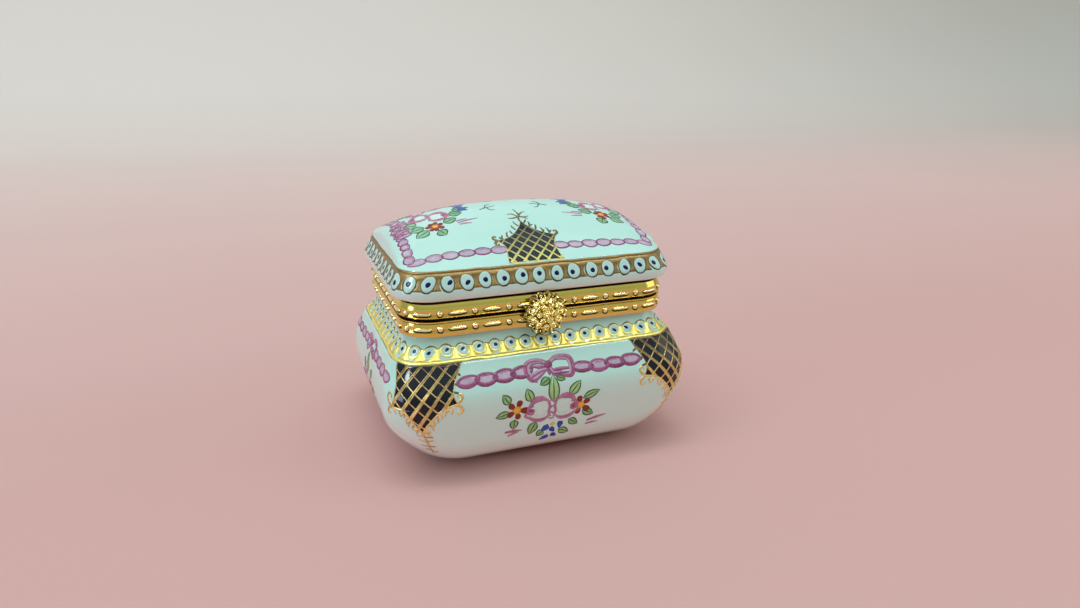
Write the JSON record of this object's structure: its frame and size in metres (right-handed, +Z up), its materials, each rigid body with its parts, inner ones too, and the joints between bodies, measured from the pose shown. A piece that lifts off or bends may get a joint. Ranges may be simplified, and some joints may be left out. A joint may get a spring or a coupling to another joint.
{
  "type": "hinged trinket box",
  "caption": "Small hinged porcelain trinket box with a bombe bowl, a domed lid, gilt bezels and a rosette snap clasp at the front.",
  "frame": {"origin": "on the table under the middle of the bowl", "axes": "+Z up, +X along the long side, the clasp faces -Y"},
  "size_m": [0.0624, 0.0518, 0.0477],
  "materials": {
    "porcelain": "glossy white glaze with a cool cast, painted in enamel and gold",
    "gilt_brass": "polished gold plate",
    "pin_brass": "drawn wire, slightly dull",
    "cement": "matt off-white setting cement"
  },
  "bodies": {
    "base": {"base_bowl": "porcelain", "base_cement": "cement", "lower_bezel": "gilt_brass", "lower_hinge_leaf": "gilt_brass", "hinge_knuckle_1": "gilt_brass", "hinge_knuckle_3": "gilt_brass", "hinge_knuckle_5": "gilt_brass", "hinge_pin": "pin_brass", "catch_stud": "gilt_brass"},
    "lid": {"lid_dome": "porcelain", "lid_cement": "cement", "upper_bezel": "gilt_brass", "upper_hinge_leaf": "gilt_brass", "hinge_knuckle_2": "gilt_brass", "hinge_knuckle_4": "gilt_brass", "clasp_tongue": "gilt_brass", "clasp_rosette": "gilt_brass"}
  },
  "joints": [
    {"name": "lid_hinge", "type": "hinge", "parent": "base", "child": "lid", "pos_m": [0, 0.0215, 0.0303], "axis": [-1, 0, 0], "range_deg": [0, 100]}
  ]
}
